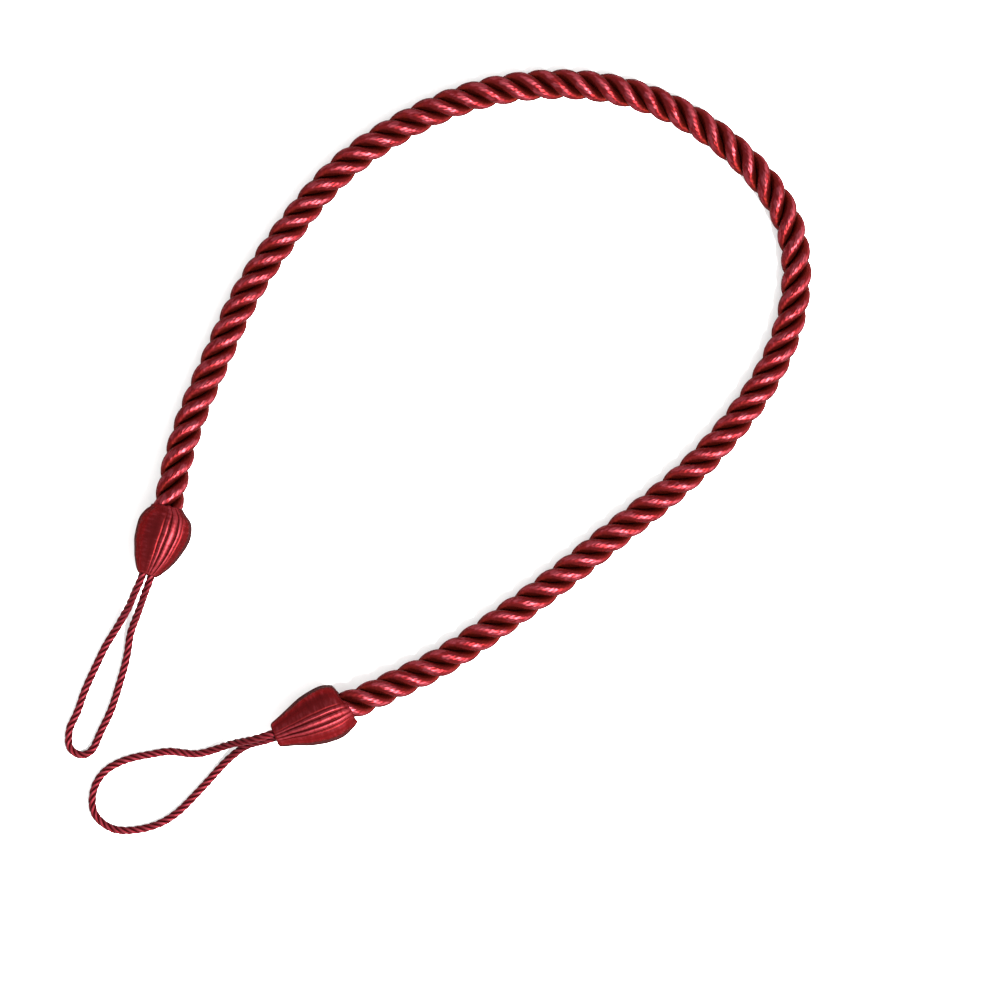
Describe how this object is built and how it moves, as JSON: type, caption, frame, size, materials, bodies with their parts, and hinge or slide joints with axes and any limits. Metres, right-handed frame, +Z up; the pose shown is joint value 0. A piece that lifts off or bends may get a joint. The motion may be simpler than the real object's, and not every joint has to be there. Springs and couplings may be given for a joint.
{
  "type": "curtain tieback",
  "caption": "Twisted satin rope curtain tieback lying in an open curve, with a satin-covered bell cap and a thin cord loop at each end.",
  "frame": {"origin": "on the surface that the tieback lies on, under the middle of its whole box", "axes": "+Z up from the surface; +Y towards the top of the rope's round bend; +X towards the bend's side, away from the two loops"},
  "size_m": [0.2984, 0.3057, 0.022],
  "materials": {
    "rope_satin": "crimson satin yarn that lies nearly along the rope",
    "cap_satin": "crimson satin gathered in lengthwise folds",
    "cord_twist": "crimson twisted thread, soft sheen"
  },
  "bodies": {
    "root": {"rope": "rope_satin", "cap_left": "cap_satin", "cap_right": "cap_satin", "loop_left": "cord_twist", "loop_right": "cord_twist"}
  },
  "joints": []
}
